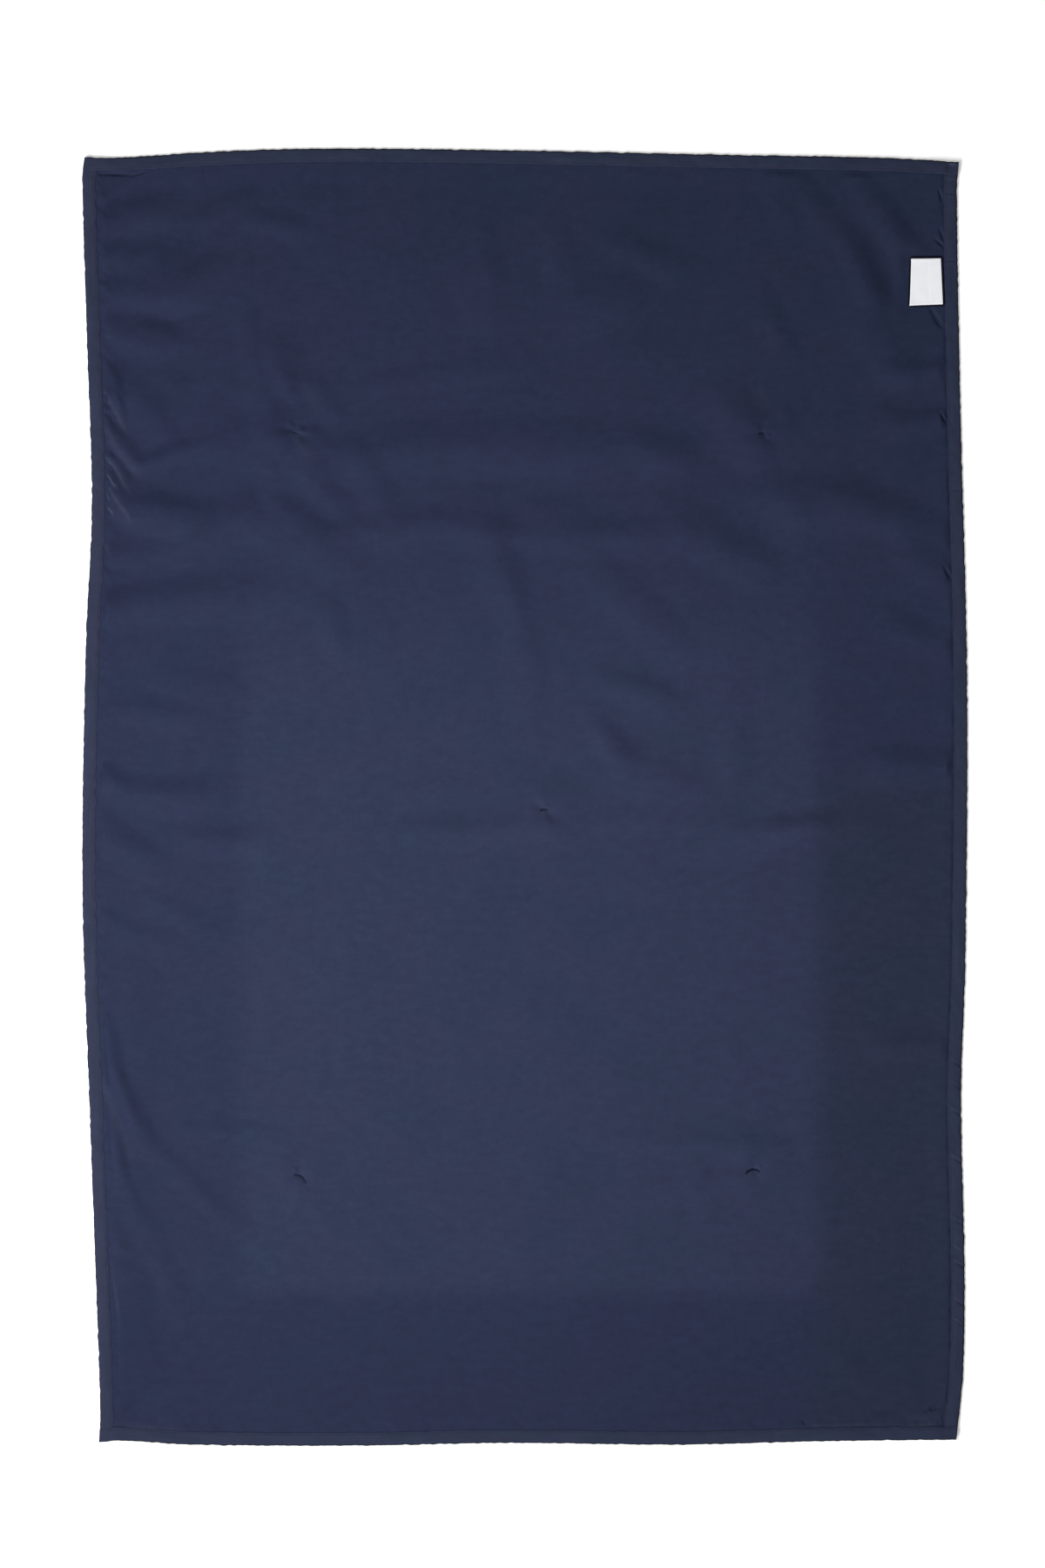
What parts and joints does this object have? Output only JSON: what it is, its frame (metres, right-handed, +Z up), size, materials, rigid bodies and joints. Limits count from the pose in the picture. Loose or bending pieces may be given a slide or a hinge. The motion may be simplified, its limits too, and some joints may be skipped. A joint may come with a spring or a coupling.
{
  "type": "lap blanket",
  "caption": "Rectangular navy lap blanket laid out flat, woven side up, with folded-over edge tapes, thread tacks and a small bare label.",
  "frame": {"origin": "on the surface the blanket lies on, under the middle of its bounding box", "axes": "+Y along the blanket's length towards the end with the label, +X across it towards the label's side, +Z up"},
  "size_m": [1.0404, 1.5242, 0.0105],
  "materials": {
    "panel_cloth": "plain navy polyester weave with a soft sheen",
    "binding_tape": "navy woven tape, a little greyer than the cloth",
    "label_ribbon": "white satin ribbon, bare",
    "sewing_thread": "navy spun thread, used for tacks and stitches in the visual model"
  },
  "bodies": {
    "root": {"panel": "panel_cloth", "binding_left": "binding_tape", "binding_right": "binding_tape", "binding_top": "binding_tape", "binding_bottom": "binding_tape", "label": "label_ribbon"}
  },
  "joints": []
}
